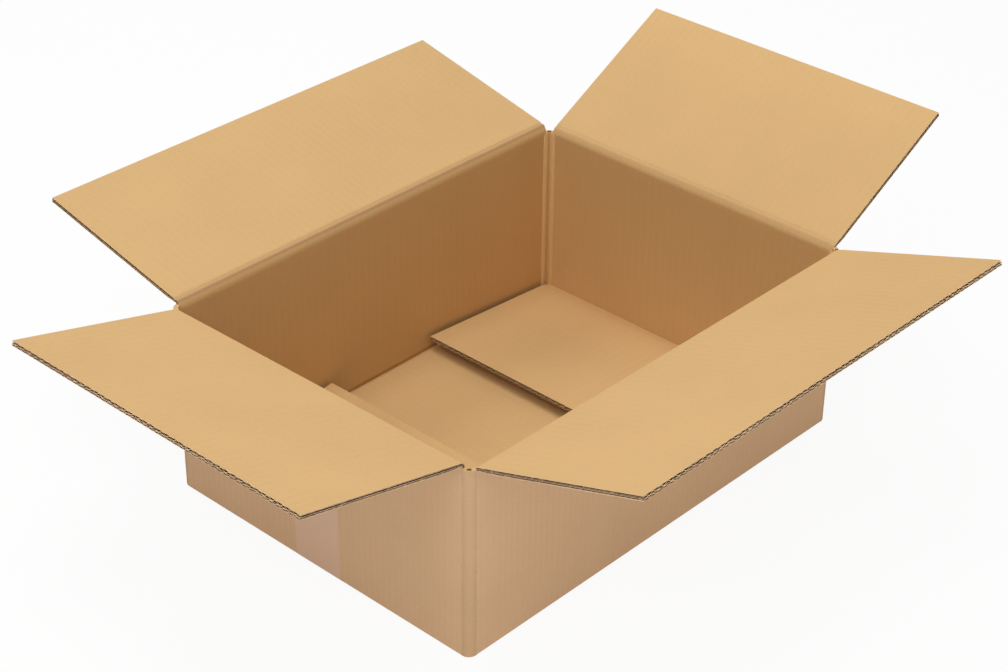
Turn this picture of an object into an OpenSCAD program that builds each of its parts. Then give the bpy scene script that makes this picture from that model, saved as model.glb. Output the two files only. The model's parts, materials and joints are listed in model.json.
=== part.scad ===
// Double wall shipping box: a slotted carton folded from one sheet of board, its floor closed
// with a strip of clear tape and its four top flaps standing open.
// X runs along the box, Y across it, Z up; the origin is under its middle, on the ground.

/* [Box] */
// Inside length, between the end walls
inside_l = 436; // [360:1:520]
// Inside width, between the side walls
inside_w = 318; // [250:1:380]
// Height of the side flaps' fold above the ground
fold_h = 168; // [130:1:260]
// Outside radius of the four upright folds
corner_r = 8; // [7:0.5:10]

/* [Board] */
// Thickness of each of the three flat liners
liner_t = 0.35; // [0.25:0.05:0.5]
// Thickness of the fluted paper, measured up and down
medium_t = 0.25; // [0.2:0.05:0.4]
// Height of the large flute, on the inside of the box
inner_flute_h = 1.7; // [1.5:0.05:3]
// Length of one wave of the large flute
inner_pitch = 7.7; // [6.5:0.1:9]
// Height of the small flute, on the outside of the box
outer_flute_h = 1.25; // [1.2:0.05:2.2]
// Length of one wave of the small flute
outer_pitch = 6.5; // [5.5:0.1:7]
// Half the width of the glue line where a wave meets its liner
glue_line = 0.3; // [0.2:0.05:0.5]

/* [Folds] */
// Thickness of the board where a score presses it flat
crush_t = 1.8; // [1.4:0.1:2.4]
// Room between a flap's root and the roll of its score
hinge_gap = 0.4; // [0.3:0.05:0.8]
// How far the flaps fold back from upright, in degrees
fold_back = 145; // [120:1:150]
// Angle left free between a flap folded right back and its wall, in degrees
back_play = 3; // [2:0.5:6]
// Cut between flaps, measured in from the outside of each wall
slot = 8; // [7:0.5:12]
// Room between the upright corners and the flaps beside them
slot_play = 0.5; // [0.3:0.1:1]
// How far the upright corners end below the side flaps' fold
corner_drop = 5; // [4:0.5:10]
// How far the upright corners end above the ground
corner_lift = 2; // [1:0.5:6]
// Radius of the beads pressed up beside each upright fold
bead_r = 4; // [2.5:0.1:4.5]
// How far those beads stand out of the inside faces
bead_h = 1.7; // [1:0.1:2.4]

/* [Flaps] */
// Gap between the two side flaps when they are shut
meet_gap = 1; // [0.5:0.5:6]
// Depth of the end flaps, from their fold to their free edge
end_flap_d = 157.5; // [100:0.5:165]
// Gap between a shut side flap and the end flap under it
stack_gap = 0.3; // [0.2:0.1:1]
// Rise of the front flap above level, as it stands, in degrees
front_rise = 18.5; // [0:0.5:60]
// Rise of the back flap above level, as it stands, in degrees
back_rise = 12.5; // [0:0.5:60]
// Rise of the left flap above level, as it stands, in degrees
left_rise = 15.5; // [0:0.5:60]
// Rise of the right flap above level, as it stands, in degrees
right_rise = 28; // [0:0.5:60]

/* [Floor] */
// Gap of the seam where the two side floor flaps meet
seam_gap = 1; // [0.5:0.5:4]
// Depth of the end floor flaps, from the inside of the end walls
floor_flap_d = 161; // [100:1:170]
// How far the left floor flap springs up, in degrees
left_floor_rise = 6.5; // [0:0.5:8]
// How far the right floor flap springs up, in degrees
right_floor_rise = 4; // [0:0.5:8]
// Gap between the end floor flaps and the side floor flaps at their root
lay_gap = 0.2; // [0.1:0.1:0.6]
// Length over which an end floor flap swells from its score to full thickness
floor_swell = 10; // [6:1:20]

/* [Glue lap] */
// Width of the glue lap inside the left wall
lap_w = 35; // [25:1:50]
// Thickness of the pressed glue lap
lap_t = 2.6; // [2:0.1:4]
// Height of the glue lap's lower end
lap_low = 16; // [12:1:40]
// How far the glue lap ends below the side flaps' fold
lap_drop = 18; // [14:1:30]
// How much the ends of the glue lap slope back at its free edge
lap_slope = 9; // [0:1:15]

/* [Tape] */
// Width of the sealing tape
tape_w = 50; // [38:1:75]
// Thickness of the sealing tape
tape_t = 0.1; // [0.08:0.02:0.2]
// How far the tape runs up the end walls
tape_up = 70; // [40:1:90]

/* [Hidden] */
$fn = 48;

board_t = 3 * liner_t + inner_flute_h + outer_flute_h;
out_l = inside_l + 2 * board_t;
out_w = inside_w + 2 * board_t;
side_len = out_l - 2 * slot;
end_len = out_w - 2 * slot;

// Board on each side of the fold lines: the side flaps turn in the middle of the board,
// the end flaps near its outside face, so that the shut side flaps lie on the shut end flaps.
side_out = board_t / 2;
end_out = crush_t / 2;
end_fold_h = fold_h - (board_t - side_out) - stack_gap - end_out;
side_axis = out_w / 2 - side_out;
end_axis = out_l / 2 - end_out;
side_flap_d = side_axis - meet_gap / 2;

// Slope of the pressed board on the outside of a score
back_slope = (180 - fold_back - back_play) / 2;
roll_r = crush_t / 2;
roll_sides = 12;
root_v = roll_r + hinge_gap;
score_end = 1;

floor_top = tape_t + board_t;
wall_low = tape_t + board_t / 2;
ring_top = end_fold_h - (board_t - end_out) - 2 * slot_play;
joint = 2;

kraft_in = [0.80, 0.62, 0.42];
kraft_out = [0.70, 0.56, 0.42];
clear_film = [0.76, 0.68, 0.58];

// One row of flute channels across a board of the given width: z is the row's lower liner face
function wave_count(width, pitch) = floor(width / pitch - 0.6);
function channel_x(width, pitch, i) = (i - (wave_count(width, pitch) - 1) / 2) * pitch;
function channel_up(x, z, pitch, h) =
    [[x - pitch / 2 + glue_line, z], [x + pitch / 2 - glue_line, z], [x, z + h - medium_t]];
function channel_down(x, z, pitch, h) =
    [[x - pitch / 2 + glue_line, z + h], [x, z + medium_t], [x + pitch / 2 - glue_line, z + h]];
function channels(width, z, pitch, h) = let (n = wave_count(width, pitch)) concat(
    [for (i = [0 : n - 1]) channel_up(channel_x(width, pitch, i), z, pitch, h)],
    [for (i = [0 : n - 2]) channel_down(channel_x(width, pitch, i) + pitch / 2, z, pitch, h)]);

// The channel of each row that the side cut of a board lays open, on the side s = 1 or -1
function open_depth(width, pitch) =
    (width - wave_count(width, pitch) * pitch) / 2 + glue_line - 2 * medium_t;
function open_channel(width, s, z, pitch, h) = [
    [s * width / 2, z],
    [s * (width / 2 - open_depth(width, pitch)), z + h / 2],
    [s * width / 2, z + h]];

outer_row = liner_t;
inner_row = 2 * liner_t + outer_flute_h;
function flip(list) = [for (i = [len(list) - 1 : -1 : 0]) list[i]];
function board_outline(width) = concat(
    [[-width / 2, 0], [width / 2, 0]],
    open_channel(width, 1, outer_row, outer_pitch, outer_flute_h),
    open_channel(width, 1, inner_row, inner_pitch, inner_flute_h),
    [[width / 2, board_t], [-width / 2, board_t]],
    flip(open_channel(width, -1, inner_row, inner_pitch, inner_flute_h)),
    flip(open_channel(width, -1, outer_row, outer_pitch, outer_flute_h)));

// Cut through the board across its flutes: three liners with two rows of waves between them
module board_section(width) {
    outline = board_outline(width);
    holes = concat(channels(width, outer_row, outer_pitch, outer_flute_h),
        channels(width, inner_row, inner_pitch, inner_flute_h));
    corners = len(outline);
    polygon(
        concat(outline, [for (hole = holes) each hole]),
        concat([[for (i = [0 : corners - 1]) i]],
            [for (k = [0 : len(holes) - 1]) [for (i = [0 : 2]) corners + 3 * k + i]]));
}

// Profiles in the YZ plane, run along X over a length centred on the origin
module along_x(length) {
    translate([-length / 2, 0, 0]) rotate([90, 0, 90]) linear_extrude(length) children();
}

// A flap that lies level towards -Y with its fold on the X axis and its inside face up
module flap(length, depth, board_out) {
    board_in = board_t - board_out;
    out_reach = board_out / tan(back_slope) + hinge_gap;
    root_end = max(board_in + hinge_gap, out_reach) + score_end;
    translate([0, -root_end, -board_out]) rotate([90, 0, 0])
        linear_extrude(depth - root_end) board_section(length);
    along_x(length) polygon([
        [-root_v, root_v - hinge_gap],
        [-board_in - hinge_gap, board_in],
        [-root_end, board_in],
        [-root_end, -board_out],
        [-out_reach, -board_out],
        [-root_v, -(root_v - hinge_gap) * tan(back_slope)]]);
}

// Upper part of a wall, outside face towards -Y, with its fold on the X axis at height 0
module wall_top(length, depth, board_out) {
    board_in = board_t - board_out;
    along_x(length) {
        polygon([
            [board_in, -depth],
            [board_in, -board_in],
            [0, 0],
            [-board_out, -board_out / tan(back_slope)],
            [-board_out, -depth]]);
        circle(roll_r, $fn = roll_sides);
    }
}

module on_front() { translate([0, -side_axis, fold_h]) children(); }
module on_back() { rotate(180) on_front() children(); }
module on_left() { rotate(-90) translate([0, -end_axis, end_fold_h]) children(); }
module on_right() { rotate(180) on_left() children(); }

module round_rect(length, width, r) {
    square([length - 2 * r, width], center = true);
    square([length, width - 2 * r], center = true);
    for (x = [-1, 1], y = [-1, 1])
        translate([x * (length / 2 - r), y * (width / 2 - r)]) circle(r);
}

// The two beads beside an upright fold, at the inside corner towards x and y, pressed out of the wall
module fold_beads(x, y) {
    sunk = bead_r - bead_h;
    intersection() {
        round_rect(out_l, out_w, corner_r);
        union() {
            translate([x * (inside_l / 2 - bead_r), y * (inside_w / 2 + sunk)]) circle(bead_r);
            translate([x * (inside_l / 2 + sunk), y * (inside_w / 2 - bead_r)]) circle(bead_r);
        }
    }
}

module walls_ring() {
    difference() {
        round_rect(out_l, out_w, corner_r);
        square([inside_l, inside_w], center = true);
    }
    fold_beads(1, 1);
    fold_beads(1, -1);
    fold_beads(-1, -1);
}

// Upright corners, standing between the flaps
module corner_posts() {
    reach = slot - slot_play;
    translate([0, 0, corner_lift]) linear_extrude(fold_h - corner_drop - corner_lift) difference() {
        intersection() {
            round_rect(out_l, out_w, corner_r);
            for (x = [-1, 1], y = [-1, 1])
                translate([x * (out_l - reach) / 2, y * (out_w - reach) / 2])
                    square(reach, center = true);
        }
        square([inside_l, inside_w], center = true);
    }
}

// Side wall's lower fold with the side floor flap, which ends at the seam under the middle
module side_floor() {
    fold_r = board_t / 2;
    along_x(side_len) {
        translate([-out_w / 2 + fold_r, tape_t + fold_r]) circle(fold_r);
        translate([-out_w / 2 + fold_r, tape_t])
            square([(out_w - seam_gap) / 2 - fold_r, board_t]);
        translate([-out_w / 2, tape_t + fold_r]) square([board_t, 2 * board_t]);
    }
}

// End wall's lower fold with the end floor flap, sprung up over the side floor flaps
module end_floor(rise) {
    low = floor_top + lay_gap;
    wall_in = -inside_l / 2;
    root = [wall_in + joint, low];
    along = [cos(rise), sin(rise)];
    up = [-sin(rise), cos(rise)];
    along_x(end_len) {
        translate([wall_in - board_t / 2, wall_low]) circle(board_t / 2);
        translate([wall_in - board_t, wall_low]) square([board_t, 2 * board_t]);
        polygon([
            [wall_in - joint, low],
            root,
            root + (floor_flap_d - joint) * along,
            root + (floor_flap_d - joint) * along + board_t * up,
            root + floor_swell * along + board_t * up,
            root + [0, crush_t],
            [wall_in - joint, low + crush_t]]);
    }
}

// Glue lap: the end of the sheet, turned in at the back left corner and glued to the left wall
module glue_lap() {
    lap_high = fold_h - lap_drop;
    translate([-inside_l / 2 - joint, inside_w / 2 + joint, 0]) rotate([90, 0, 90])
        linear_extrude(lap_t + joint) polygon([
            [0, lap_low],
            [-lap_w - joint, lap_low + lap_slope],
            [-lap_w - joint, lap_high - lap_slope],
            [0, lap_high]]);
}

module carton_sheet() color(kraft_out) {
    top_depth = fold_h - ring_top + joint;
    translate([0, 0, floor_top]) linear_extrude(ring_top - floor_top) walls_ring();
    corner_posts();
    on_front() wall_top(side_len, top_depth, side_out);
    on_back() wall_top(side_len, top_depth, side_out);
    on_left() wall_top(end_len, top_depth, end_out);
    on_right() wall_top(end_len, top_depth, end_out);
    for (turn = [0, 180]) rotate(turn) side_floor();
    rotate(-90) end_floor(left_floor_rise);
    rotate(90) end_floor(right_floor_rise);
    glue_lap();
}

module side_flap(rise) {
    rotate([-rise, 0, 0]) flap(side_len, side_flap_d, side_out);
}

module end_flap(rise) {
    rotate([-rise, 0, 0]) flap(end_len, end_flap_d, end_out);
}

module front_flap() color(kraft_in) on_front() side_flap(front_rise);
module back_flap() color(kraft_in) on_back() side_flap(back_rise);
module left_flap() color(kraft_in) on_left() end_flap(left_rise);
module right_flap() color(kraft_in) on_right() end_flap(right_rise);

// Outline of the taped floor seen from the side, grown by the given amount
module taped_outline(grow) {
    bend_r = board_t / 2 + grow;
    for (x = [-1, 1])
        translate([x * (out_l - board_t) / 2, wall_low]) circle(bend_r);
    translate([-(out_l - board_t) / 2, wall_low - bend_r]) square([out_l - board_t, 2 * bend_r]);
    translate([-out_l / 2 - grow, wall_low]) square([out_l + 2 * grow, tape_up]);
}

// Clear tape along the floor's seam, turned up on both end walls
module sealing_tape() color(clear_film) {
    rotate([90, 0, 0]) linear_extrude(tape_w, center = true) difference() {
        taped_outline(tape_t);
        taped_outline(0);
        translate([-out_l, tape_up]) square([2 * out_l, fold_h]);
    }
}

carton_sheet();
front_flap();
back_flap();
left_flap();
right_flap();
sealing_tape();
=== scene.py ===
import json
import math

import bpy
import numpy as np
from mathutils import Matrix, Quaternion, Vector


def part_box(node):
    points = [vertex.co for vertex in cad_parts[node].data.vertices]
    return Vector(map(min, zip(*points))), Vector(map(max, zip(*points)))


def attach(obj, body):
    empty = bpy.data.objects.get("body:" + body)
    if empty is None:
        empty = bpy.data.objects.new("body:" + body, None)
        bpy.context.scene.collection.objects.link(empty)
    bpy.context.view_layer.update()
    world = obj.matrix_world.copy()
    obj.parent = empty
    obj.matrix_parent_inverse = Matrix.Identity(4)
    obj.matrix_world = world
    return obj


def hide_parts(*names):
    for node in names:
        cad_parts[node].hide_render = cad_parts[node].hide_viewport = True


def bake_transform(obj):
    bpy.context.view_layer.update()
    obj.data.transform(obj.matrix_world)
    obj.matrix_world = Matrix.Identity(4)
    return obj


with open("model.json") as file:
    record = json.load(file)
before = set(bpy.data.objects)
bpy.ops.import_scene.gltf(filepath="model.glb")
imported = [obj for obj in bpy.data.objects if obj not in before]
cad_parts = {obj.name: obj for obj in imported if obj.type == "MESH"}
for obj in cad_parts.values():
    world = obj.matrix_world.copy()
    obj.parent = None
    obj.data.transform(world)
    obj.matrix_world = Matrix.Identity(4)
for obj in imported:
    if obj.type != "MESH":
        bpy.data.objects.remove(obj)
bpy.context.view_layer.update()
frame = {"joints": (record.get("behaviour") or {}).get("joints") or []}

hinges = {joint["child"]: Vector(joint["pos_m"]) for joint in frame["joints"]}
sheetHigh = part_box("carton_sheet")[1]
tapeLow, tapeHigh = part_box("sealing_tape")
mm = 0.001
tiny = 0.01 * mm


# Selecting and shaping by place

def onlyThis(piece):
    if bpy.context.mode != "OBJECT":
        bpy.ops.object.mode_set(mode="OBJECT")
    bpy.ops.object.select_all(action="DESELECT")
    piece.select_set(True)
    bpy.context.view_layer.objects.active = piece


def places(piece):
    spots = np.empty(len(piece.data.vertices) * 3)
    piece.data.vertices.foreach_get("co", spots)
    return spots.reshape(-1, 3)


def pickVerts(piece, mask):  # leaves the piece in edit mode with just these points selected
    onlyThis(piece)
    mesh = piece.data
    mesh.edges.foreach_set("select", np.zeros(len(mesh.edges), bool))
    mesh.polygons.foreach_set("select", np.zeros(len(mesh.polygons), bool))
    mesh.vertices.foreach_set("select", np.asarray(mask, bool))
    bpy.ops.object.mode_set(mode="EDIT")
    bpy.ops.mesh.select_mode(type="VERT")


def pickAll(piece):
    onlyThis(piece)
    bpy.ops.object.mode_set(mode="EDIT")
    bpy.ops.mesh.select_all(action="SELECT")


def editDone():
    bpy.ops.object.mode_set(mode="OBJECT")


def closeUp():  # faces point outwards, then back to object mode
    bpy.ops.mesh.select_all(action="SELECT")
    bpy.ops.mesh.normals_make_consistent(inside=False)
    editDone()


def pull(x, y, z):  # extrudes what is selected
    bpy.ops.mesh.extrude_region_move(TRANSFORM_OT_translate={"value": (x, y, z)})


def settle(piece):  # the place, turn and scale go into the mesh
    onlyThis(piece)
    bpy.ops.object.transform_apply(location=True, rotation=True, scale=True)


def finishWith(piece, kind, **settings):
    onlyThis(piece)
    modifier = piece.modifiers.new(kind.lower(), kind)
    for name, value in settings.items():
        setattr(modifier, name, value)
    bpy.ops.object.modifier_apply(modifier=modifier.name)


def joined(name, pieces):
    onlyThis(pieces[0])
    for other in pieces[1:]:
        other.select_set(True)
    bpy.ops.object.join()
    pieces[0].name = name
    pieces[0].data.name = name
    return pieces[0]


def faceTable(piece):  # middles and normals of the faces
    count = len(piece.data.polygons)
    middles, normals = np.empty(count * 3), np.empty(count * 3)
    piece.data.polygons.foreach_get("center", middles)
    piece.data.polygons.foreach_get("normal", normals)
    return middles.reshape(-1, 3), normals.reshape(-1, 3)


# The papers of a piece in the order of its slots
paperSlot = {"outside": 0, "inside": 1, "largeFlute": 2, "cut": 3, "smallFlute": 4}


def paint(piece, paper, kinds):  # kinds: a slot for each face
    piece.data.materials.clear()
    for material in paper:
        piece.data.materials.append(material)
    piece.data.polygons.foreach_set("material_index", np.asarray(kinds, np.int32))


def roundDisc(radius, sides, x, y, z):
    bpy.ops.object.select_all(action="DESELECT")
    bpy.ops.mesh.primitive_circle_add(vertices=sides, radius=radius, fill_type="NGON",
                                      location=(x, y, z))
    disc = bpy.context.object
    settle(disc)
    return disc


def smooth(piece, degrees):
    onlyThis(piece)
    bpy.ops.object.shade_smooth_by_angle(angle=math.radians(degrees))


# Double wall board

board = {
    "liner": 0.35 * mm,
    "smallFlute": 1.25 * mm,   # next to the outside liner
    "smallPitch": 6.5 * mm,
    "largeFlute": 1.7 * mm,    # next to the inside liner
    "largePitch": 7.7 * mm,
    "wavePaper": 0.34 * mm,
    "waveSteps": 6,
    "linerSteps": 24,
    "flatFace": 0.9,           # least share of the normal across the board on its flat faces
    "cutFace": 0.7,            # and along it on its side cuts
}
boardT = 3 * board["liner"] + board["smallFlute"] + board["largeFlute"]


def uprightStrip(width, steps, y, rows):  # a flat strip facing the outside, cut across at each row
    bpy.ops.object.select_all(action="DESELECT")
    bpy.ops.mesh.primitive_grid_add(x_subdivisions=steps, y_subdivisions=1, size=1)
    strip = bpy.context.object
    strip.scale = (width, rows[-1] - rows[0], 1)
    strip.rotation_euler = (math.radians(90), 0, 0)
    strip.location = (0, y, (rows[0] + rows[-1]) / 2)
    settle(strip)
    pickAll(strip)
    for row in rows[1:-1]:
        bpy.ops.mesh.select_all(action="SELECT")
        bpy.ops.mesh.bisect(plane_co=(0, y, row), plane_no=(0, 0, 1))
    editDone()
    return strip


def liner(width, y, rows):
    strip = uprightStrip(width, board["linerSteps"], y, rows)
    finishWith(strip, "SOLIDIFY", thickness=board["liner"], offset=0)
    return strip


def flutes(width, pitch, height, y, rows):
    steps = board["waveSteps"]
    wave = uprightStrip(pitch, steps, y, rows)
    swing = (height - board["wavePaper"]) / 2
    for step in range(steps + 1):
        x = (step / steps - 0.5) * pitch
        pickVerts(wave, abs(places(wave)[:, 0] - x) < tiny)
        bpy.ops.transform.translate(value=(0, swing * math.cos(2 * math.pi * step / steps), 0))
        editDone()
    count = math.ceil(width / pitch) + 1
    finishWith(wave, "ARRAY", count=count, use_relative_offset=False, use_constant_offset=True,
               constant_offset_displace=(pitch, 0, 0), use_merge_vertices=True, merge_threshold=tiny)
    wave.location.x = -(count - 1) * pitch / 2
    settle(wave)
    pickAll(wave)
    for side in (-1, 1):
        bpy.ops.mesh.select_all(action="SELECT")
        bpy.ops.mesh.bisect(plane_co=(side * width / 2, 0, 0), plane_no=(side, 0, 0), clear_outer=True)
    editDone()
    finishWith(wave, "SOLIDIFY", thickness=board["wavePaper"], offset=0, use_even_offset=True)
    return wave


def flatBoard(name, width, outY, rows, paper):  # upright board, outside face towards -Y at outY
    rows = sorted(rows)
    half = board["liner"] / 2
    smallMiddle = outY + board["liner"] + board["smallFlute"] / 2
    middleLiner = outY + board["liner"] + board["smallFlute"] + half
    largeMiddle = middleLiner + half + board["largeFlute"] / 2
    sheet = joined(name, [
        liner(width, outY + half, rows),
        flutes(width, board["smallPitch"], board["smallFlute"], smallMiddle, rows),
        liner(width, middleLiner, rows),
        flutes(width, board["largePitch"], board["largeFlute"], largeMiddle, rows),
        liner(width, outY + boardT - half, rows)])
    middles, normals = faceTable(sheet)
    across, deep, up = middles.T
    kinds = np.where(deep < middleLiner, paperSlot["smallFlute"], paperSlot["largeFlute"])
    kinds[(deep < outY + tiny) & (normals[:, 1] < -board["flatFace"])] = paperSlot["outside"]
    kinds[(deep > outY + boardT - tiny) & (normals[:, 1] > board["flatFace"])] = paperSlot["inside"]
    sides = (abs(across) > width / 2 - board["liner"]) & (abs(normals[:, 0]) > board["cutFace"])
    ends = (up < rows[0] + tiny) | (up > rows[-1] - tiny)
    kinds[sides | ends] = paperSlot["cut"]
    kinds[ends & (deep < outY + board["liner"])] = paperSlot["outside"]  # the outer liner's cut end takes the darker outside paper: painted shade along that edge
    paint(sheet, paper, kinds)
    return sheet


def pressRow(sheet, flat, row, share, aboutY):  # squeezes the board at one row towards a face
    pickVerts(sheet, abs(flat[:, 2] - row) < tiny)
    bpy.ops.transform.resize(value=(1, share, 1), center_override=(0, aboutY, row))
    editDone()


# The rows go in order from the free end to the wall
def foldRows(sheet, flat, rows, shares, hingeY, turn, above):
    for row, share in zip(rows, shares):
        mask = flat[:, 2] > row + tiny if above else flat[:, 2] < row - tiny
        pickVerts(sheet, mask)
        bpy.ops.transform.rotate(value=-turn * share / sum(shares), orient_axis="X",
                                 center_override=(0, hingeY, row))
        editDone()


def ramp(value, low, high):
    share = min(max((value - low) / (high - low), 0), 1)
    return share * share * (3 - 2 * share)


# Shared paper effects

effects = {
    "noiseSpan": (0.3, 0.7),  # where most of a noise lies
    "cloud": {"scale": 14, "detail": 4},
    "fibre": {"scale": 900, "detail": 3, "rough": 0.6},
    "fleck": {"Detail": 2, "Roughness": 0.7},
    "fleckEdge": 0.08,        # over which a fleck fades in
    "patch": {"scale": 9, "detail": 2},
    "patchSpan": (0.2, 1),    # strength of the ribs from patch to patch
}


def newGroup(name, inputs, outputs):
    group = bpy.data.node_groups.new(name, "ShaderNodeTree")
    for label, kind, value in inputs:
        socket = group.interface.new_socket(name=label, in_out="INPUT", socket_type=kind)
        socket.default_value = value
    for label, kind in outputs:
        group.interface.new_socket(name=label, in_out="OUTPUT", socket_type=kind)
    return group, group.nodes.new("NodeGroupInput"), group.nodes.new("NodeGroupOutput")


def addNode(tree, kind, **values):
    node = tree.nodes.new(kind)
    for name, value in values.items():
        if hasattr(node, name):
            setattr(node, name, value)
        else:
            node.inputs[name].default_value = value
    return node


def mathNode(tree, operation, first, second):
    node = addNode(tree, "ShaderNodeMath", operation=operation)
    for socket, value in zip(node.inputs, (first, second)):
        if isinstance(value, (int, float)):
            socket.default_value = value
        else:
            tree.links.new(value, socket)
    return node.outputs[0]


def remap(tree, value, low, high, toLow, toHigh):
    node = addNode(tree, "ShaderNodeMapRange")
    tree.links.new(value, node.inputs["Value"])
    for label, number in (("From Min", low), ("From Max", high), ("To Min", toLow), ("To Max", toHigh)):
        node.inputs[label].default_value = number
    return node.outputs["Result"]


def noise(tree, vector, scale, detail, rough=0.5):
    node = addNode(tree, "ShaderNodeTexNoise", Scale=scale, Detail=detail, Roughness=rough)
    tree.links.new(vector, node.inputs["Vector"])
    return node.outputs["Fac"]


def spread(tree, value, toLow, toHigh):  # a noise over a range
    return remap(tree, value, *effects["noiseSpan"], toLow, toHigh)


def mixColor(tree, mode, fac, first, second):
    node = addNode(tree, "ShaderNodeMix", data_type="RGBA", blend_type=mode)
    for socket, value in ((node.inputs[0], fac), (node.inputs[6], first), (node.inputs[7], second)):
        if isinstance(value, (int, float, tuple)):
            socket.default_value = value
        else:
            tree.links.new(value, socket)
    return node.outputs[2]


def makeFibreGroup():  # clouds, fibres and specks of unbleached paper
    group, source, result = newGroup(
        "paperFibres",
        [("Vector", "NodeSocketVector", (0, 0, 0)), ("Cloud", "NodeSocketFloat", 0.05),
         ("Fibre", "NodeSocketFloat", 0.05), ("Speck", "NodeSocketFloat", 0.2),
         ("Grain", "NodeSocketFloat", 420), ("Rare", "NodeSocketFloat", 0.68)],
        [("Tone", "NodeSocketFloat"), ("Specks", "NodeSocketFloat"), ("Height", "NodeSocketFloat")])
    spot = source.outputs["Vector"]
    cloud = noise(group, spot, **effects["cloud"])
    fine = noise(group, spot, **effects["fibre"])
    flecks = addNode(group, "ShaderNodeTexNoise", **effects["fleck"])
    group.links.new(spot, flecks.inputs["Vector"])
    group.links.new(source.outputs["Grain"], flecks.inputs["Scale"])
    above = mathNode(group, "SUBTRACT", flecks.outputs["Fac"], source.outputs["Rare"])
    cloudTone = mathNode(group, "MULTIPLY", spread(group, cloud, -1, 1), source.outputs["Cloud"])
    fineTone = mathNode(group, "MULTIPLY", spread(group, fine, -1, 1), source.outputs["Fibre"])
    tone = mathNode(group, "ADD", mathNode(group, "ADD", cloudTone, fineTone), 1)
    faded = remap(group, above, 0, effects["fleckEdge"], 0, 1)
    specks = mathNode(group, "MULTIPLY", faded, source.outputs["Speck"])
    group.links.new(tone, result.inputs["Tone"])
    group.links.new(specks, result.inputs["Specks"])
    group.links.new(fine, result.inputs["Height"])
    return group


def makeWashboardGroup():  # faint ribs where the flutes press through a liner; Tone paints their shade into the colour, lighter on the crests, and Height gives their relief
    group, source, result = newGroup(
        "washboard",
        [("Across", "NodeSocketFloat", 0), ("Pitch", "NodeSocketFloat", 0.0075),
         ("Vector", "NodeSocketVector", (0, 0, 0)), ("Strength", "NodeSocketFloat", 0.02)],
        [("Tone", "NodeSocketFloat"), ("Height", "NodeSocketFloat")])
    turns = mathNode(group, "DIVIDE", source.outputs["Across"], source.outputs["Pitch"])
    wave = mathNode(group, "SINE", mathNode(group, "MULTIPLY", turns, 2 * math.pi), 0)
    patches = noise(group, source.outputs["Vector"], **effects["patch"])
    patchy = spread(group, patches, *effects["patchSpan"])
    ribs = mathNode(group, "MULTIPLY", wave, patchy)
    tone = mathNode(group, "ADD", mathNode(group, "MULTIPLY", ribs, source.outputs["Strength"]), 1)
    group.links.new(tone, result.inputs["Tone"])
    group.links.new(ribs, result.inputs["Height"])
    return group


fibreGroup = makeFibreGroup()
washboardGroup = makeWashboardGroup()
print("paper effects made")


# Materials

paperLooks = {  # linear colours
    # the inside paper's speck colour is also the colour of the painted shade along the creases
    "inside": {"color": (0.66, 0.42, 0.187, 1), "speck": (0.44, 0.26, 0.12, 1),
               "cloud": 0.02, "fibre": 0.05, "specks": 0.22, "grain": 420, "rare": 0.68,
               "rib": 0.012, "pitch": board["largePitch"], "rough": 0.86, "gloss": 0.25},
    "outside": {"color": (0.50, 0.322, 0.183, 1), "speck": (0.34, 0.21, 0.12, 1),
                "cloud": 0.025, "fibre": 0.05, "specks": 0.2, "grain": 420, "rare": 0.68,
                "rib": 0.016, "pitch": board["smallPitch"], "rough": 0.8, "gloss": 0.25},
    # flutes: the near-black colour is painted shade in the flute channels; the pale specks carry the
    # medium paper's own tone
    "largeFlute": {"color": (0.06, 0.03, 0.012, 1), "speck": (0.52, 0.33, 0.18, 1),
                   "cloud": 0.1, "fibre": 0.1, "specks": 0.7, "grain": 230, "rare": 0.58,
                   "rib": 0, "pitch": board["largePitch"], "rough": 0.95, "gloss": 0},
    "smallFlute": {"color": (0.06, 0.03, 0.012, 1), "speck": (0.52, 0.33, 0.18, 1),
                   "cloud": 0.1, "fibre": 0.1, "specks": 0.7, "grain": 190, "rare": 0.58,
                   "rib": 0, "pitch": board["smallPitch"], "rough": 0.95, "gloss": 0},
    "cut": {"color": (0.70, 0.48, 0.29, 1), "speck": (0.26, 0.16, 0.09, 1),
            "cloud": 0.12, "fibre": 0.12, "specks": 0.5, "grain": 300, "rare": 0.58,
            "rib": 0, "pitch": board["largePitch"], "rough": 0.95, "gloss": 0.05},
    # score: the outside paper made darker for the outside of the corner folds, painted shade
    "score": {"color": (0.435, 0.278, 0.155, 1), "speck": (0.34, 0.21, 0.12, 1),
              "cloud": 0.04, "fibre": 0.06, "specks": 0.3, "grain": 420, "rare": 0.66,
              "rib": 0, "pitch": board["smallPitch"], "rough": 0.8, "gloss": 0.2},
}
paperFinish = {"smoother": 0.06, "rougher": 0.04, "fibreRelief": 0.03, "bump": 0.5}
fibreInputs = {"Cloud": "cloud", "Fibre": "fibre", "Speck": "specks", "Grain": "grain", "Rare": "rare"}


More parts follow.
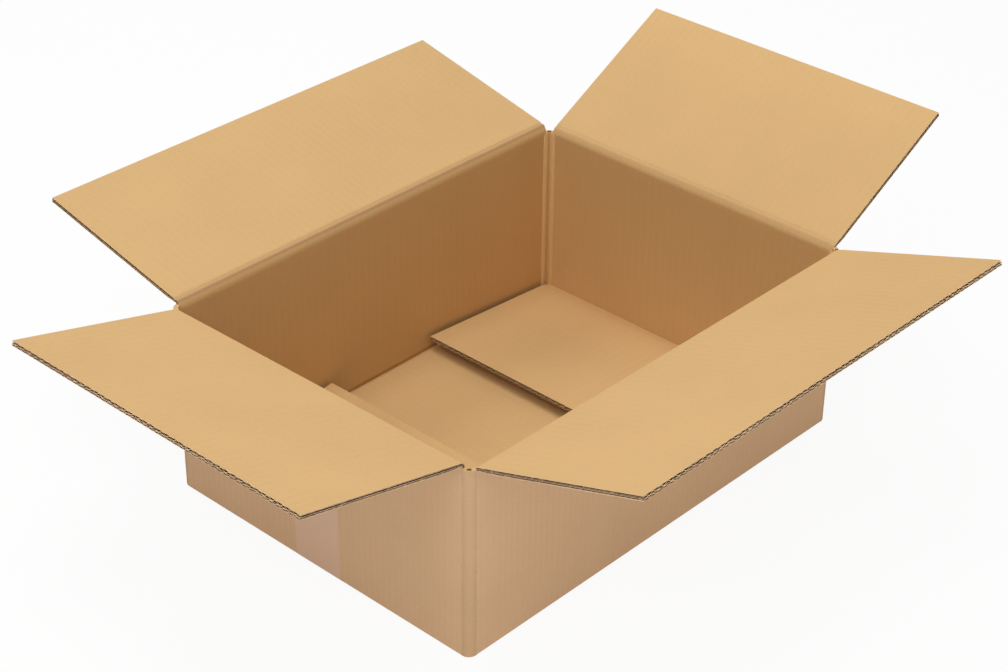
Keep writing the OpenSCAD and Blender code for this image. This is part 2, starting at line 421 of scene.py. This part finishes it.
def paperMaterial(name, look, across):
    material = bpy.data.materials.new(name)
    material.use_nodes = True
    tree = material.node_tree
    shader = tree.nodes["Principled BSDF"]
    shader.inputs["Specular IOR Level"].default_value = look["gloss"]
    coords = addNode(tree, "ShaderNodeTexCoord")
    split = addNode(tree, "ShaderNodeSeparateXYZ")
    tree.links.new(coords.outputs["Object"], split.inputs[0])
    fibres = addNode(tree, "ShaderNodeGroup", node_tree=fibreGroup)
    for label, key in fibreInputs.items():
        fibres.inputs[label].default_value = look[key]
    tree.links.new(coords.outputs["Object"], fibres.inputs["Vector"])
    ribs = addNode(tree, "ShaderNodeGroup", node_tree=washboardGroup)
    ribs.inputs["Pitch"].default_value = look["pitch"]
    ribs.inputs["Strength"].default_value = look["rib"]
    tree.links.new(split.outputs[across], ribs.inputs["Across"])
    tree.links.new(coords.outputs["Object"], ribs.inputs["Vector"])
    # painted shade along the top folds' creases: the crease attribute darkens the colour towards the
    # speck colour
    crease = addNode(tree, "ShaderNodeAttribute", attribute_name="crease")
    # the fibres' own tone times the ribs' painted shade
    tone = mathNode(tree, "MULTIPLY", fibres.outputs["Tone"], ribs.outputs["Tone"])
    dark = mathNode(tree, "ADD", fibres.outputs["Specks"], crease.outputs["Fac"])
    speckedAndShaded = mixColor(tree, "MIX", dark, look["color"], look["speck"])
    shade = addNode(tree, "ShaderNodeCombineColor")
    for socket in shade.inputs:
        tree.links.new(tone, socket)
    shaded = mixColor(tree, "MULTIPLY", 1.0, speckedAndShaded, shade.outputs[0])
    tree.links.new(shaded, shader.inputs["Base Color"])
    rough = spread(tree, fibres.outputs["Height"], look["rough"] - paperFinish["smoother"],
                   look["rough"] + paperFinish["rougher"])
    tree.links.new(rough, shader.inputs["Roughness"])
    fibreRelief = mathNode(tree, "MULTIPLY", fibres.outputs["Height"], paperFinish["fibreRelief"])
    ribRelief = mathNode(tree, "MULTIPLY", ribs.outputs["Height"], look["rib"])
    relief = mathNode(tree, "ADD", fibreRelief, ribRelief)
    bump = addNode(tree, "ShaderNodeBump", Strength=paperFinish["bump"], Distance=mm)
    tree.links.new(relief, bump.inputs["Height"])
    tree.links.new(bump.outputs["Normal"], shader.inputs["Normal"])
    return material


papers = {}
for across in ("X", "Y"):
    papers[across] = [paperMaterial("kraftOutside" + across, paperLooks["outside"], across),
                      paperMaterial("kraftInside" + across, paperLooks["inside"], across),
                      paperMaterial("largeFlute" + across, paperLooks["largeFlute"], across),
                      paperMaterial("cutEdge" + across, paperLooks["cut"], across),
                      paperMaterial("smallFlute" + across, paperLooks["smallFlute"], across)]
# the corner folds' outside takes the darker copy of the outside paper: painted shade
shadedCornerPapers = [paperMaterial("kraftOutsideShaded", paperLooks["score"], "X")] + papers["X"][1:]
print("paper materials made")


# Walls with their top flaps

topFold = {
    "steps": 9,                 # rows of the bend
    "thin": 0.7,                # what is left of the board's thickness in the bend
    "taper": 10 * mm,           # from the bend to full thickness
    # mm past the bend, and share of the crease's depth there
    "crease": [(0.3, 0.4), (0.8, 0.9), (1.2, 1), (1.6, 0.9), (2.2, 0.4), (3, 0)],
    "wallRows": [2, 4, 7, 10],  # mm below the bend
    "flapRows": [6, 9, 12, 16, 60, 110],  # mm past it
    "reach": 5 * mm,            # blending on each side of the hinge
    "creaseShade": 2.4 * mm,          # half the width of the shade painted along the crease
    "smooth": 30,               # degrees between faces that still look round
}
sideFold = {                    # lower fold of the side walls
    "steps": 8,
    "radius": 2.2 * mm,         # on the outside
    "hinge": 0.6 * mm,          # depth of the line that keeps its length
    "thin": 0.5,
    "taper": 5 * mm,
    "swell": [0.25, 0.5, 0.75, 1],  # rows, as shares of the taper
}
# zone: length of the bend, lift: of the fold above the hinge, rise: degrees above level,
# snap: share of the turn right at the crease, dark: strength of the shade painted into the inside paper
# along the crease,
# twist: how much higher the near end of the flap's root stands
walls = {
    "front": {"turn": 0, "across": "X", "zone": 7.5 * mm, "lift": 0, "depth": 160.5 * mm,
              "rise": 18.5, "crease": 0.2 * mm, "snap": 0.2, "dark": 0, "twist": 0},
    "back": {"turn": 180, "across": "X", "zone": 8 * mm, "lift": 0, "depth": 160.5 * mm,
             "rise": 12.5, "crease": 0.9 * mm, "snap": 0.5, "dark": 0.9, "twist": 0},
    "left": {"turn": -90, "across": "Y", "zone": 3.2 * mm, "lift": 2.5 * mm, "depth": 157.5 * mm,
             "rise": 14.6, "crease": 0.15 * mm, "snap": 0.2, "dark": 0, "twist": 3.8 * mm,
             "floorRise": 6.5},
    "right": {"turn": 90, "across": "Y", "zone": 5.3 * mm, "lift": 0, "depth": 157.5 * mm,
              "rise": 28, "crease": 0.5 * mm, "snap": 0.3, "dark": 0.4, "twist": 0,
              "floorRise": 4},
}
seamGap = 0.02 * mm
floorLow = tapeHigh.x - sheetHigh.x   # the board stands on the tape's thickness
wallFoot = floorLow + boardT / 2


def bendOf(name, plan):  # heights of the top fold's rows on the flat sheet
    lean = math.radians(90 - plan["rise"])
    reach = plan["zone"] / lean * math.tan(lean / 2)  # from the hinge to each end of the bend
    low = hinges[name].z + plan["lift"] - reach
    high = low + plan["zone"]
    steps = topFold["steps"]
    return {
        "low": low,
        "high": high,
        "lean": lean,
        "edge": high + plan["depth"] - reach,
        "rows": [low + plan["zone"] * (step + 0.5) / steps for step in range(steps)],
        "shares": [plan["snap"]] + [(1 - plan["snap"]) / (steps - 1)] * (steps - 1),
        "crease": [(high + along * mm, share * plan["crease"]) for along, share in topFold["crease"]],
        "beside": [low - below * mm for below in topFold["wallRows"]]
                  + [high + past * mm for past in topFold["flapRows"]],
    }


def footOf(outY):  # heights of a side wall's lower fold on the flat sheet
    zone = (sideFold["radius"] - sideFold["hinge"]) * math.pi / 2
    high = floorLow + sideFold["radius"]
    low = high - zone
    steps = sideFold["steps"]
    swell = [sideFold["taper"] * share for share in sideFold["swell"]]
    return {
        "low": low,
        "high": high,
        "rows": [high - zone * (step + 0.5) / steps for step in range(steps)],
        "swell": [high + along for along in swell] + [low - along for along in swell],
        "seam": low - (-outY - sideFold["radius"] - seamGap / 2),
    }


def pressFold(sheet, flat, rows, fold, bend, aboutY):  # thin in the bend, full thickness past the taper
    for row in rows:
        gap = max(bend["low"] - row, row - bend["high"], 0)
        if gap < fold["taper"] - tiny:
            share = fold["thin"] + (1 - fold["thin"]) * ramp(gap, 0, fold["taper"])
            pressRow(sheet, flat, row, share, aboutY)


def paintCreaseShade(sheet, flat, bend, inY, dark):  # paints shade into the inside paper along the crease, as the point attribute crease
    creaseShade = np.clip(1 - abs(flat[:, 2] - bend["rows"][-1]) / topFold["creaseShade"], 0, 1) * dark
    creaseShade[flat[:, 1] < inY - board["liner"] - tiny] = 0
    sheet.data.attributes.new("crease", "FLOAT", "POINT").data.foreach_set("value", creaseShade)


def twistFlap(sheet, flat, rows, bend, angle, pivot):  # full at the root, none at the free edge
    for row in rows:
        onWall = 1 + (row - bend["low"]) / topFold["taper"]
        onFlap = (bend["edge"] - row) / (bend["edge"] - bend["high"])
        share = min(onWall, onFlap, 1)
        if share > 0:
            pickVerts(sheet, abs(flat[:, 2] - row) < tiny)
            bpy.ops.transform.rotate(value=share * angle, orient_axis="Y", center_override=pivot)
            editDone()


def wallWithFlap(name, plan):
    longWall = plan["across"] == "X"
    low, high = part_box(name + "_flap")
    width = high.x - low.x if longWall else high.y - low.y
    outY = -sheetHigh.y if longWall else -sheetHigh.x
    inY = outY + boardT
    hinge = hinges[name]
    hingeY = -max(abs(hinge.x), abs(hinge.y))
    bend, foot = bendOf(name, plan), footOf(outY)
    rows = bend["rows"] + bend["beside"] + [row for row, deep in bend["crease"]] + [bend["edge"]]
    if longWall:
        rows += foot["rows"] + foot["swell"] + [foot["seam"]]
    else:
        rows += [wallFoot]
    sheet = flatBoard(name + "Wall", width, outY, rows, papers[plan["across"]])
    flat = places(sheet)
    pressFold(sheet, flat, rows, topFold, bend, inY)
    for row, deep in bend["crease"]:
        pressRow(sheet, flat, row, 1 - deep / boardT, outY)
    paintCreaseShade(sheet, flat, bend, inY, plan["dark"])
    foldRows(sheet, flat, bend["rows"][::-1], bend["shares"], hingeY, bend["lean"], True)
    if plan["twist"]:
        twistFlap(sheet, flat, rows, bend, plan["twist"] / width, (-width / 2, hingeY, hinge.z))
    if longWall:
        pressFold(sheet, flat, foot["rows"] + foot["swell"], sideFold, foot, outY)
        foldRows(sheet, flat, foot["rows"][::-1], [1] * sideFold["steps"], outY + sideFold["hinge"],
                 math.pi / 2, False)
    return sheet


# Floor flaps of the end walls, sprung up over the side floor flaps

endFloor = {
    "depth": 161 * mm,
    "root": 2 * mm,        # of that, taken up by the fold
    "layGap": 0.2 * mm,    # above the side floor flaps
    "thin": 0.45,
    "swell": 10 * mm,      # from the fold to full thickness
    "swellSteps": 5,
    "middleRow": 60 * mm,
    "rollSteps": 24,
}


def endFloorFlap(name, plan):
    low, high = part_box(name + "_flap")
    width = high.y - low.y
    inY = -sheetHigh.x + boardT
    start = floorLow + boardT + endFloor["layGap"]
    steps = endFloor["swellSteps"]
    swellRows = [endFloor["swell"] * step / steps for step in range(steps + 1)]
    farRows = [endFloor["middleRow"], endFloor["depth"] - endFloor["root"]]
    rows = [start - along for along in swellRows + farRows]
    flap = flatBoard(name + "Floor", width, inY, rows, papers[plan["across"]])
    flat = places(flap)
    for along in swellRows[:-1]:
        share = endFloor["thin"] + (1 - endFloor["thin"]) * along / endFloor["swell"]
        pressRow(flap, flat, start - along, share, inY)
    pickAll(flap)
    bpy.ops.transform.rotate(value=-math.radians(90 + plan["floorRise"]), orient_axis="X",
                             center_override=(0, inY, start))
    editDone()
    return flap


def footRoll(name, plan):  # the rounded lower fold of an end wall
    low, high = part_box(name + "_flap")
    width = high.y - low.y
    roll = roundDisc(boardT / 2, 2 * endFloor["rollSteps"], 0, 0, 0)
    roll.rotation_euler = (math.radians(90), 0, math.radians(90))
    roll.location = (-width / 2, -sheetHigh.x + boardT / 2, wallFoot)
    settle(roll)
    pickAll(roll)
    bpy.ops.mesh.bisect(plane_co=(0, 0, wallFoot), plane_no=(0, 0, 1), clear_outer=True)
    bpy.ops.mesh.select_all(action="SELECT")
    pull(width, 0, 0)
    closeUp()
    paint(roll, papers[plan["across"]], np.full(len(roll.data.polygons), paperSlot["outside"]))
    return roll


# Glue lap: the end of the sheet, turned in at the back left corner and glued to the left wall

glueLap = {"width": 35 * mm, "thick": 2.6 * mm, "low": 16 * mm, "drop": 18 * mm, "slope": 9 * mm}


def lapOnWall(plan):
    low, high = glueLap["low"], hinges["front"].z - glueLap["drop"]
    width, slope = glueLap["width"], glueLap["slope"]
    inY = -sheetHigh.x + boardT
    foldX = boardT - sheetHigh.y
    lap = flatBoard("glueLap", width, inY, [low, high], papers[plan["across"]])
    flat = places(lap)
    for row in (low, high):
        pressRow(lap, flat, row, glueLap["thick"] / boardT, inY)
    lap.location.x = foldX + width / 2
    settle(lap)
    pickAll(lap)
    for end, side in ((low, -1), (high, 1)):
        bpy.ops.mesh.select_all(action="SELECT")
        bpy.ops.mesh.bisect(plane_co=(foldX, 0, end), plane_no=(slope, 0, side * width),
                            clear_outer=True, use_fill=True)
    editDone()
    return lap


def finishWall(name, plan):
    sheet = wallWithFlap(name, plan)
    if plan["across"] == "Y":
        sheet = joined(sheet.name, [sheet, endFloorFlap(name, plan), footRoll(name, plan)])
    if name == "left":
        sheet = joined(sheet.name, [sheet, lapOnWall(plan)])
    sheet.rotation_euler = (0, 0, math.radians(plan["turn"]))
    settle(sheet)
    smooth(sheet, topFold["smooth"])
    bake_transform(sheet)
    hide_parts(name + "_flap")
    print(name, "wall and flap folded,", len(sheet.data.polygons), "faces")


for name, plan in walls.items():
    finishWall(name, plan)


# Upright folds at the corners

corner = {
    "radius": 8 * mm,
    "score": 0.15 * mm,    # how far the pressed fold lies behind the wall faces
    "steps": 16,
    "fluteAngle": 23,      # half the turn over which a flute stands open at the top
    "low": 0.2 * mm,       # above the ground
    "foot": 1.4 * mm,      # rounding of the lower edge
    "footSteps": 6,
    "rim": 0.7 * mm,       # paper round the open flute at the top
    "pocket": 7 * mm,      # depth of that flute
    "bead": 4 * mm,        # radius of the beads inside
    "beadOut": 1.7 * mm,
    "beadSunk": 0.8 * mm,  # how deep the beads go into the wall
    "beadEnd": 3 * mm,     # length of their tapered ends
    "beadTip": 0.6,        # share of their size left at the end
    "beadSides": 32,
    "smooth": 40,
}


def cornerPost(cornerTop, withFlute):  # at the origin: the outside corner points towards -X and -Y
    r, thick = corner["radius"], boardT - corner["score"]
    tall = cornerTop - corner["low"]
    bpy.ops.object.select_all(action="DESELECT")
    bpy.ops.mesh.primitive_plane_add(size=1)
    post = bpy.context.object
    post.scale = (thick, tall, 1)
    post.rotation_euler = (math.radians(90), 0, 0)
    post.location = (corner["score"] + thick / 2, r, corner["low"] + tall / 2)
    settle(post)
    pickAll(post)
    bpy.ops.mesh.spin(steps=corner["steps"], angle=-math.pi / 2, center=(r, r, 0), axis=(0, 0, 1))
    closeUp()
    if withFlute:
        x, y, z = places(post).T
        middle = abs(np.degrees(np.arctan2(r - y, r - x)) - 45) < corner["fluteAngle"]
        pickVerts(post, (z > cornerTop - tiny) & middle)
        bpy.ops.mesh.inset(thickness=corner["rim"])
        pull(0, 0, -corner["pocket"])
        editDone()
    x, y, z = places(post).T
    onArc = np.hypot(x - r, y - r) > r - corner["score"] - tiny
    pickVerts(post, (z < corner["low"] + tiny) & onArc)
    bpy.ops.mesh.bevel(offset=corner["foot"], segments=corner["footSteps"], affect="EDGES")
    editDone()
    middles, normals = faceTable(post)
    outwards = (middles[:, 0] - r) * normals[:, 0] + (middles[:, 1] - r) * normals[:, 1]
    kinds = np.full(len(middles), paperSlot["outside"])
    kinds[outwards < -tiny] = paperSlot["inside"]
    fluteWall = np.hypot(middles[:, 0] - r, middles[:, 1] - r) > r - boardT + corner["rim"] / 2
    inPocket = (middles[:, 2] > cornerTop - corner["pocket"] - tiny) & (outwards < tiny) & fluteWall
    # the open flute's walls take the near-black flute paper: painted shade in the pocket
    kinds[inPocket] = paperSlot["largeFlute"]
    kinds[middles[:, 2] > cornerTop - tiny] = paperSlot["inside"]
    paint(post, shadedCornerPapers, kinds)
    return post


def pressedBead(x, y, wall, high):  # pressed up out of the inside face beside the fold
    low = floorLow + boardT
    deep = boardT - corner["beadSunk"]
    bead = roundDisc(corner["bead"], corner["beadSides"], x, y, low)
    pickAll(bead)
    bpy.ops.mesh.bisect(plane_co=(deep, deep, low), plane_no=wall, clear_inner=True)
    bpy.ops.mesh.select_all(action="SELECT")
    pull(0, 0, high - corner["beadEnd"] - low)
    pull(0, 0, corner["beadEnd"])
    tip = corner["beadTip"]
    bpy.ops.transform.resize(value=(tip, tip, 1), center_override=(x, y, high))
    closeUp()
    paint(bead, papers["X"], np.full(len(bead.data.polygons), paperSlot["inside"]))
    return bead


def cornerPiece(withBeads, drop):  # the glued corner is crushed flat: no beads, no open flute
    cornerTop = hinges["front"].z - drop
    post = cornerPost(cornerTop, withBeads)
    if not withBeads:
        return post
    sunk = boardT - corner["bead"] + corner["beadOut"]
    beside = boardT + corner["bead"]
    beadTop = min(cornerTop, hinges["left"].z) - corner["score"]
    beads = [pressedBead(beside, sunk, (0, 1, 0), beadTop),
             pressedBead(sunk, beside, (1, 0, 0), beadTop)]
    return joined("corner", [post] + beads)


cornerPlaces = [  # sides, turn, beads, and how far the slot ends below the side flaps' fold
    (-1, -1, 0, True, -1.5 * mm),
    (1, -1, 90, True, 0.5 * mm),
    (1, 1, 180, True, 3.5 * mm),
    (-1, 1, -90, False, -1 * mm),
]
corners = []
for sideX, sideY, turn, withBeads, drop in cornerPlaces:
    piece = cornerPiece(withBeads, drop)
    piece.rotation_euler = (0, 0, math.radians(turn))
    piece.location = (sideX * sheetHigh.x, sideY * sheetHigh.y, 0)
    settle(piece)
    corners.append(piece)
uprights = joined("uprightFolds", corners)
smooth(uprights, corner["smooth"])
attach(uprights, "carton")
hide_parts("carton_sheet")
print("upright folds made,", len(uprights.data.polygons), "faces")


# Clear tape on the floor's seam

tapeLook = {"color": (0.585, 0.39, 0.263, 1), "alpha": 0.9, "rough": 0.3, "smoother": 0.03,
            "rougher": 0.05, "creases": {"scale": 25, "detail": 2}}
tape = {"width": tapeHigh.y - tapeLow.y, "thick": 0.1 * mm, "bendSteps": 8, "teeth": 18,
        "toothLong": 1.2 * mm, "smooth": 40}


def sawEnd(strip, end):  # the ends torn off on a saw edge
    x, y, z = places(strip).T
    steps = np.round((y / tape["width"] + 0.5) * 2 * tape["teeth"]).astype(int)
    pickVerts(strip, end & (z > tapeHigh.z - tiny) & (steps % 2 == 1))
    bpy.ops.transform.translate(value=(0, 0, -tape["toothLong"]))
    editDone()


def turnUp(centerX):
    bpy.ops.mesh.spin(steps=tape["bendSteps"], angle=math.pi / 2, center=(centerX, 0, wallFoot),
                      axis=(0, 1, 0))


def sealingTape():
    x = sheetHigh.x + tape["thick"] / 2
    bendX = sheetHigh.x - boardT / 2
    up = tapeHigh.z - wallFoot
    bpy.ops.object.select_all(action="DESELECT")
    bpy.ops.mesh.primitive_grid_add(x_subdivisions=1, y_subdivisions=2 * tape["teeth"], size=1)
    strip = bpy.context.object
    strip.scale = (up, tape["width"], 1)
    strip.rotation_euler = (0, math.radians(90), 0)
    strip.location = (-x, 0, wallFoot + up / 2)
    settle(strip)
    pickVerts(strip, places(strip)[:, 2] < wallFoot + tiny)
    turnUp(-bendX)
    pull(2 * bendX, 0, 0)
    turnUp(bendX)
    pull(0, 0, up)
    bpy.ops.mesh.select_all(action="SELECT")
    bpy.ops.mesh.remove_doubles(threshold=tiny)
    closeUp()
    sawEnd(strip, places(strip)[:, 0] < 0)
    sawEnd(strip, places(strip)[:, 0] > 0)
    finishWith(strip, "SOLIDIFY", thickness=tape["thick"], offset=0)
    strip.name = "sealingTape"
    smooth(strip, tape["smooth"])
    return strip


def tapeMaterial():
    material = bpy.data.materials.new("clearTape")
    material.use_nodes = True
    tree = material.node_tree
    shader = tree.nodes["Principled BSDF"]
    coords = addNode(tree, "ShaderNodeTexCoord")
    shader.inputs["Base Color"].default_value = tapeLook["color"]
    shader.inputs["Alpha"].default_value = tapeLook["alpha"]
    creases = noise(tree, coords.outputs["Object"], **tapeLook["creases"])
    rough = spread(tree, creases, tapeLook["rough"] - tapeLook["smoother"],
                   tapeLook["rough"] + tapeLook["rougher"])
    tree.links.new(rough, shader.inputs["Roughness"])
    return material


tapeStrip = sealingTape()
tapeStrip.data.materials.append(tapeMaterial())
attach(tapeStrip, "carton")
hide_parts("sealing_tape")
print("tape laid")


# Floor, light and camera

studio = {
    "floor": 0.9,
    "floorSize": 14,
    "floorGlow": 0.93,     # share of plain white that the camera sees on the floor
    "ambient": 0.02,
    "aim": (0, 0, 0.1),
    "lamps": {
        "overhead": {"place": (0, 0, 2.3), "size": (1.2, 1.2), "power": 18},
        "nearTop": {"place": (-0.8, -0.9, 2.0), "size": (1.6, 1.6), "power": 16},
        "farTop": {"place": (0.2, 1.5, 1.6), "size": (1, 1), "power": 14},
        "rightTop": {"place": (1.5, 0.2, 1.6), "size": (1, 1), "power": 5},
        "leftTop": {"place": (-1.5, -0.3, 1.5), "size": (1, 1), "power": 7.5},
        "leftFill": {"place": (-1.7, -0.1, 0.13), "size": (1.4, 0.2), "power": 10.8},
        "frontFill": {"place": (0.1, -1.7, 0.13), "size": (1.4, 0.2), "power": 13.5},
    },
}


def makeFloor():
    bpy.ops.object.select_all(action="DESELECT")
    bpy.ops.mesh.primitive_plane_add(size=studio["floorSize"])
    ground = bpy.context.object
    ground.name = "ground"
    material = bpy.data.materials.new("paleFloor")
    material.use_nodes = True
    tree = material.node_tree
    tree.nodes.remove(tree.nodes["Principled BSDF"])
    matte = addNode(tree, "ShaderNodeBsdfDiffuse", Color=(studio["floor"],) * 3 + (1,))
    glow = addNode(tree, "ShaderNodeEmission", Color=(1, 1, 1, 1), Strength=1)
    seen = addNode(tree, "ShaderNodeLightPath")
    share = mathNode(tree, "MULTIPLY", seen.outputs["Is Camera Ray"], studio["floorGlow"])
    mix = addNode(tree, "ShaderNodeMixShader")
    tree.links.new(share, mix.inputs[0])
    tree.links.new(matte.outputs[0], mix.inputs[1])
    tree.links.new(glow.outputs[0], mix.inputs[2])
    tree.links.new(mix.outputs[0], tree.nodes["Material Output"].inputs["Surface"])
    ground.data.materials.append(material)


def makeWorld():
    world = bpy.data.worlds.new("studio")
    bpy.context.scene.world = world
    world.use_nodes = True
    tree = world.node_tree
    background = tree.nodes["Background"]
    background.inputs["Color"].default_value = (1, 1, 1, 1)
    seen = addNode(tree, "ShaderNodeLightPath")
    rays = mathNode(tree, "MAXIMUM", seen.outputs["Is Camera Ray"], seen.outputs["Is Glossy Ray"])
    rays = mathNode(tree, "MAXIMUM", rays, seen.outputs["Is Transmission Ray"])
    tree.links.new(remap(tree, rays, 0, 1, studio["ambient"], 1), background.inputs["Strength"])


def areaLight(name, plan):
    light = bpy.data.lights.new(name, "AREA")
    light.energy = plan["power"]
    light.shape = "RECTANGLE"
    light.size, light.size_y = plan["size"]
    lamp = bpy.data.objects.new(name, light)
    lamp.location = plan["place"]
    lamp.rotation_euler = (Vector(studio["aim"]) - lamp.location).to_track_quat("-Z", "Y").to_euler()
    bpy.context.scene.collection.objects.link(lamp)


photoCamera = {
    "place": (-1.16545, -1.06661, 1.09748),
    "looks": (0.62331, 0.57610, -0.52877),
    "roll": 0.598,
    "lens": 81.554,
    "sensor": 36,
}


def makeCamera():
    camera = bpy.data.objects.new("photoCamera", bpy.data.cameras.new("photoCamera"))
    camera.data.sensor_fit = "HORIZONTAL"
    camera.data.sensor_width = photoCamera["sensor"]
    camera.data.lens = photoCamera["lens"]
    camera.location = photoCamera["place"]
    aim = Vector(photoCamera["looks"]).to_track_quat("-Z", "Y")
    roll = Quaternion((0, 0, 1), math.radians(photoCamera["roll"]))
    camera.rotation_euler = (aim @ roll).to_euler()
    bpy.context.scene.collection.objects.link(camera)
    bpy.context.scene.camera = camera


makeFloor()
makeWorld()
for name, plan in studio["lamps"].items():
    areaLight(name, plan)
makeCamera()
bpy.context.scene.view_settings.view_transform = "Standard"
print("studio set")
